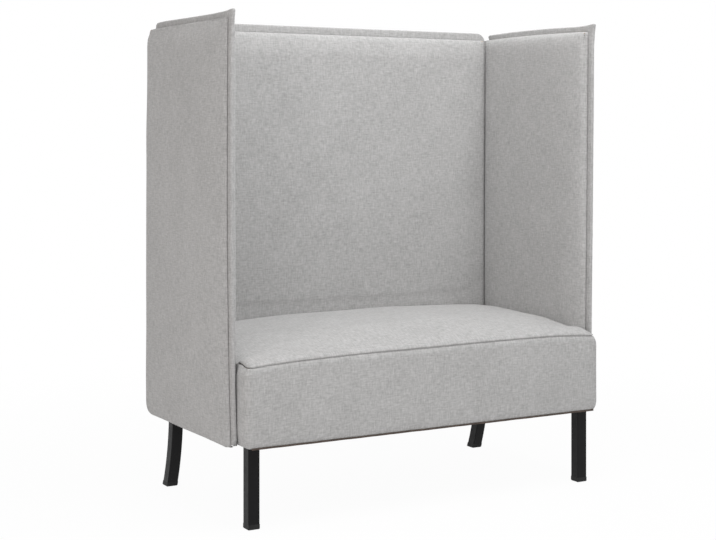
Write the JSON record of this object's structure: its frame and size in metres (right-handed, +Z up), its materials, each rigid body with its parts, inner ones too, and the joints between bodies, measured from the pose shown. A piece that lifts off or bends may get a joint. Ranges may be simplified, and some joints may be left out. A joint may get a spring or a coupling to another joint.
{
  "type": "high-back sofa",
  "caption": "High-back loveseat: upholstered seat box between full-height side wings and a tall back, with sewn flanged edges, on square steel legs.",
  "frame": {"origin": "centre of the bounding box at the floor, under the middle of the seat", "axes": "+X along the width, to the right of someone who looks at the front; +Y from the front of the seat to the back; +Z up"},
  "size_m": [1.192, 0.602, 1.324],
  "materials": {
    "cover": "light warm-grey woven wool-look upholstery, fine two-tone melange",
    "cover_edge": "the same upholstery, sewn double as a flat flange",
    "foam": "cut polyurethane foam",
    "lining": "black non-woven lining and woven elastic webbing",
    "timber": "sawn and planed beech, unfinished",
    "board": "hardboard and plywood, unfinished",
    "black_steel": "satin black powder coat",
    "black_plastic": "black moulded foot, fine grain",
    "zinc": "zinc-plated steel"
  },
  "bodies": {
    "root": {"leg_front_left": "black_steel", "leg_front_right": "black_steel", "leg_rear_left": "black_steel", "leg_rear_right": "black_steel", "glide_front_left": "black_plastic", "glide_front_right": "black_plastic", "glide_rear_left": "black_plastic", "glide_rear_right": "black_plastic", "leg_bolts": "zinc", "panel_bolts": "zinc", "corner_bolts": "zinc", "tee_nuts": "zinc", "seat_front_rail": "timber", "seat_rear_rail": "timber", "seat_left_rail": "timber", "seat_right_rail": "timber", "seat_centre_rail": "timber", "corner_blocks": "timber", "rail_dowels": "timber", "seat_springs": "zinc", "spring_clips": "zinc", "seat_felt": "lining", "seat_foam": "foam", "seat_top": "cover", "seat_border": "cover", "dust_cover": "lining", "back_left_stile": "timber", "back_right_stile": "timber", "back_top_rail": "timber", "back_mid_rail": "timber", "back_bottom_rail": "timber", "back_fixing_board": "board", "back_webbing": "lining", "back_rear_skin": "board", "back_flange": "cover_edge", "back_front_pad": "cover", "back_rear_pad": "cover", "wing_left_front_stile": "timber", "wing_left_rear_post": "timber", "wing_left_top_rail": "timber", "wing_left_mid_rail": "timber", "wing_left_bottom_rail": "timber", "wing_left_skins": "board", "wing_left_fixing_board": "board", "wing_left_flange": "cover_edge", "wing_left_inner_pad": "cover", "wing_left_outer_pad": "cover", "wing_right_front_stile": "timber", "wing_right_rear_post": "timber", "wing_right_top_rail": "timber", "wing_right_mid_rail": "timber", "wing_right_bottom_rail": "timber", "wing_right_skins": "board", "wing_right_fixing_board": "board", "wing_right_flange": "cover_edge", "wing_right_inner_pad": "cover", "wing_right_outer_pad": "cover"}
  },
  "joints": []
}
